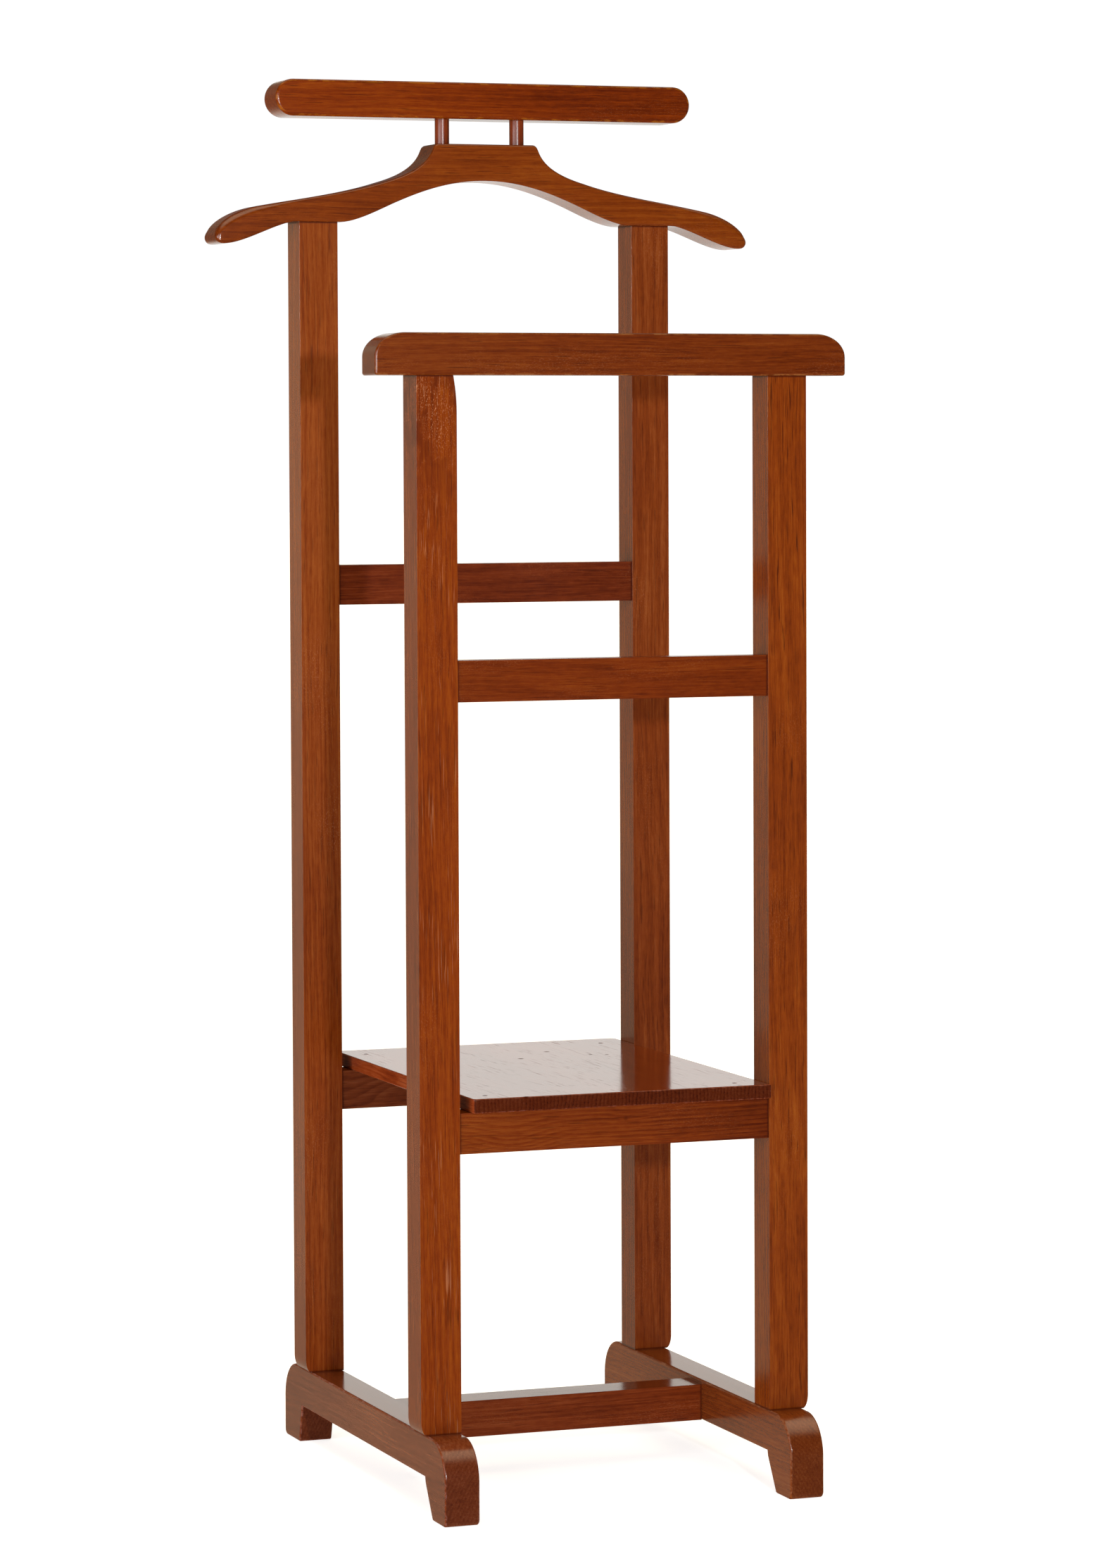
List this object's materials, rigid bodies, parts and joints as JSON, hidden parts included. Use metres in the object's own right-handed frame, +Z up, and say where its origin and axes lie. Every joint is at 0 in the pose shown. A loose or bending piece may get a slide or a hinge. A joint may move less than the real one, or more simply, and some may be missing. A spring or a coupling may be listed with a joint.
{
  "type": "wooden valet stand",
  "caption": "Free-standing wooden clothes valet: arched feet, low front frame with a rounded rail, tall rear frame with hanger yoke and trouser bar, and a low shelf.",
  "frame": {"origin": "on the floor, below the centre of the stand's overall box", "axes": "+Z up; -Y to the front, the side with the lower frame; +X to the right, seen from the front"},
  "size_m": [0.455, 0.403, 1.1],
  "materials": {
    "frame": "gloss",
    "cap": "gloss",
    "board": "gloss",
    "dowel": "matte",
    "steel": "satin"
  },
  "bodies": {
    "root": {"bar_peg_left": "cap", "bar_peg_right": "cap", "foot_stretcher": "frame", "front_apron": "frame", "front_apron_dowel_left_lower": "dowel", "front_apron_dowel_left_upper": "dowel", "front_apron_dowel_right_lower": "dowel", "front_apron_dowel_right_upper": "dowel", "front_left_post": "frame", "front_left_post_dowel_aft": "dowel", "front_left_post_dowel_fore": "dowel", "front_mid_rail": "frame", "front_mid_rail_dowel_left_lower": "dowel", "front_mid_rail_dowel_left_upper": "dowel", "front_mid_rail_dowel_right_lower": "dowel", "front_mid_rail_dowel_right_upper": "dowel", "front_right_post": "frame", "front_right_post_dowel_aft": "dowel", "front_right_post_dowel_fore": "dowel", "front_top_rail": "cap", "front_top_rail_dowel_left": "dowel", "front_top_rail_dowel_right": "dowel", "hanger_yoke": "cap", "hanger_yoke_dowel_left": "dowel", "hanger_yoke_dowel_right": "dowel", "left_foot": "frame", "rear_apron": "frame", "rear_apron_dowel_left_lower": "dowel", "rear_apron_dowel_left_upper": "dowel", "rear_apron_dowel_right_lower": "dowel", "rear_apron_dowel_right_upper": "dowel", "rear_left_post": "frame", "rear_left_post_dowel_aft": "dowel", "rear_left_post_dowel_fore": "dowel", "rear_mid_rail": "frame", "rear_mid_rail_dowel_left_lower": "dowel", "rear_mid_rail_dowel_left_upper": "dowel", "rear_mid_rail_dowel_right_lower": "dowel", "rear_mid_rail_dowel_right_upper": "dowel", "rear_right_post": "frame", "rear_right_post_dowel_aft": "dowel", "rear_right_post_dowel_fore": "dowel", "right_foot": "frame", "shelf_board": "board", "shelf_nail_front_left": "steel", "shelf_nail_front_right": "steel", "shelf_nail_rear_left": "steel", "shelf_nail_rear_right": "steel", "stretcher_dowel_left_aft": "dowel", "stretcher_dowel_left_fore": "dowel", "stretcher_dowel_right_aft": "dowel", "stretcher_dowel_right_fore": "dowel", "trouser_bar": "cap"}
  },
  "joints": []
}
